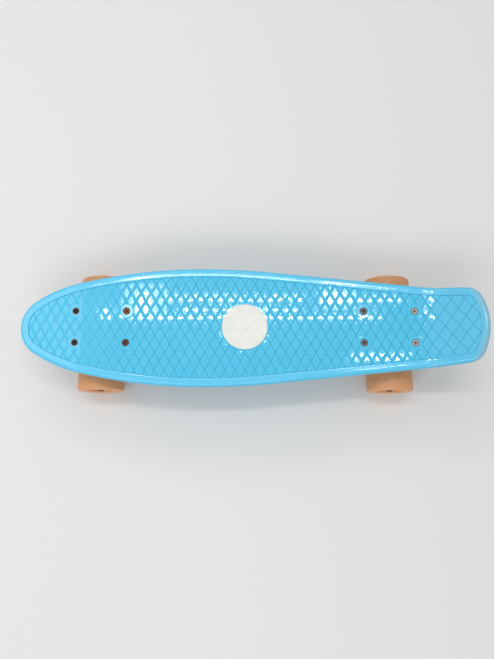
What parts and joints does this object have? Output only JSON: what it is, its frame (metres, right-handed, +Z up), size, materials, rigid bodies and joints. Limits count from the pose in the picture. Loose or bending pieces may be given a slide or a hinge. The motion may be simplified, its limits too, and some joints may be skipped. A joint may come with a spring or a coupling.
{
  "type": "skateboard",
  "caption": "Short plastic cruiser skateboard: waffle-tread deck with raised rim and kicktail, sprung steering trucks and wide urethane wheels that spin on sealed bearings.",
  "frame": {"origin": "on the floor below the middle of the deck's length and width", "axes": "+X runs from the nose to the kicktail, +Y is to the rider's right when facing the nose, +Z is up"},
  "size_m": [0.5784, 0.15, 0.1205],
  "materials": {
    "deck_plastic": "glossy sky blue moulded plastic with a waffle tread and light scuffs",
    "sticker_vinyl": "bare off-white vinyl disc, lightly mottled",
    "bolt_steel": "dark steel bolt heads, some with rust",
    "zinc_steel": "zinc plated steel",
    "truck_casting": "tumbled cast aluminium",
    "pivot_plastic": "black plastic pivot cup",
    "bushing_urethane": "cast urethane bushing",
    "bearing_steel": "ground bearing steel",
    "wheel_urethane": "satin tan urethane with a worn running band"
  },
  "bodies": {
    "deck": {"deck": "deck_plastic", "deck_sticker": "sticker_vinyl", "front_deck_bolts": "bolt_steel", "front_deck_nuts": "zinc_steel", "front_baseplate": "truck_casting", "front_pivot_cup": "pivot_plastic", "front_kingpin": "zinc_steel", "front_kingpin_nut": "zinc_steel", "front_board_bushing": "bushing_urethane", "front_road_bushing": "bushing_urethane", "front_board_washer": "zinc_steel", "front_road_washer": "zinc_steel", "rear_deck_bolts": "bolt_steel", "rear_deck_nuts": "zinc_steel", "rear_baseplate": "truck_casting", "rear_pivot_cup": "pivot_plastic", "rear_kingpin": "zinc_steel", "rear_kingpin_nut": "zinc_steel", "rear_board_bushing": "bushing_urethane", "rear_road_bushing": "bushing_urethane", "rear_board_washer": "zinc_steel", "rear_road_washer": "zinc_steel"},
    "front_hanger": {"front_hanger": "truck_casting", "front_axle": "zinc_steel", "front_axle_nuts": "zinc_steel", "front_speed_washers": "zinc_steel", "front_bearing_spacers": "zinc_steel", "front_inner_races": "bearing_steel"},
    "front_left_wheel": {"front_left_wheel": "wheel_urethane", "front_left_outer_races": "bearing_steel", "front_left_bearing_shields": "bearing_steel"},
    "front_left_cage": {"front_left_bearing_balls": "bearing_steel", "front_left_bearing_cages": "bearing_steel"},
    "front_right_wheel": {"front_right_wheel": "wheel_urethane", "front_right_outer_races": "bearing_steel", "front_right_bearing_shields": "bearing_steel"},
    "front_right_cage": {"front_right_bearing_balls": "bearing_steel", "front_right_bearing_cages": "bearing_steel"},
    "rear_hanger": {"rear_hanger": "truck_casting", "rear_axle": "zinc_steel", "rear_axle_nuts": "zinc_steel", "rear_speed_washers": "zinc_steel", "rear_bearing_spacers": "zinc_steel", "rear_inner_races": "bearing_steel"},
    "rear_left_wheel": {"rear_left_wheel": "wheel_urethane", "rear_left_outer_races": "bearing_steel", "rear_left_bearing_shields": "bearing_steel"},
    "rear_left_cage": {"rear_left_bearing_balls": "bearing_steel", "rear_left_bearing_cages": "bearing_steel"},
    "rear_right_wheel": {"rear_right_wheel": "wheel_urethane", "rear_right_outer_races": "bearing_steel", "rear_right_bearing_shields": "bearing_steel"},
    "rear_right_cage": {"rear_right_bearing_balls": "bearing_steel", "rear_right_bearing_cages": "bearing_steel"}
  },
  "joints": [
    {"name": "front_steer", "type": "hinge", "parent": "deck", "child": "front_hanger", "pos_m": [-0.171, 0, 0.043], "axis": [-0.8752, 0, 0.4837], "range_deg": [-12, 12], "stiffness_Nm_per_rad": 40, "deforming": ["front_board_bushing", "front_road_bushing"]},
    {"name": "front_left_spin", "type": "hinge", "parent": "front_hanger", "child": "front_left_wheel", "pos_m": [-0.197, -0.0525, 0.03], "axis": [0, 1, 0], "continuous": true},
    {"name": "front_left_roll", "type": "hinge", "parent": "front_hanger", "child": "front_left_cage", "pos_m": [-0.197, -0.0525, 0.03], "axis": [0, 1, 0], "continuous": true},
    {"name": "front_right_spin", "type": "hinge", "parent": "front_hanger", "child": "front_right_wheel", "pos_m": [-0.197, 0.0525, 0.03], "axis": [0, 1, 0], "continuous": true},
    {"name": "front_right_roll", "type": "hinge", "parent": "front_hanger", "child": "front_right_cage", "pos_m": [-0.197, 0.0525, 0.03], "axis": [0, 1, 0], "continuous": true},
    {"name": "rear_steer", "type": "hinge", "parent": "deck", "child": "rear_hanger", "pos_m": [0.157, 0, 0.043], "axis": [0.8752, 0, 0.4837], "range_deg": [-12, 12], "stiffness_Nm_per_rad": 40, "deforming": ["rear_board_bushing", "rear_road_bushing"]},
    {"name": "rear_left_spin", "type": "hinge", "parent": "rear_hanger", "child": "rear_left_wheel", "pos_m": [0.183, -0.0525, 0.03], "axis": [0, 1, 0], "continuous": true},
    {"name": "rear_left_roll", "type": "hinge", "parent": "rear_hanger", "child": "rear_left_cage", "pos_m": [0.183, -0.0525, 0.03], "axis": [0, 1, 0], "continuous": true},
    {"name": "rear_right_spin", "type": "hinge", "parent": "rear_hanger", "child": "rear_right_wheel", "pos_m": [0.183, 0.0525, 0.03], "axis": [0, 1, 0], "continuous": true},
    {"name": "rear_right_roll", "type": "hinge", "parent": "rear_hanger", "child": "rear_right_cage", "pos_m": [0.183, 0.0525, 0.03], "axis": [0, 1, 0], "continuous": true}
  ],
  "couplings": [
    {"joint": "front_left_roll", "follows": "front_left_spin", "ratio": 0.6323},
    {"joint": "front_right_roll", "follows": "front_right_spin", "ratio": 0.6323},
    {"joint": "rear_left_roll", "follows": "rear_left_spin", "ratio": 0.6323},
    {"joint": "rear_right_roll", "follows": "rear_right_spin", "ratio": 0.6323}
  ]
}
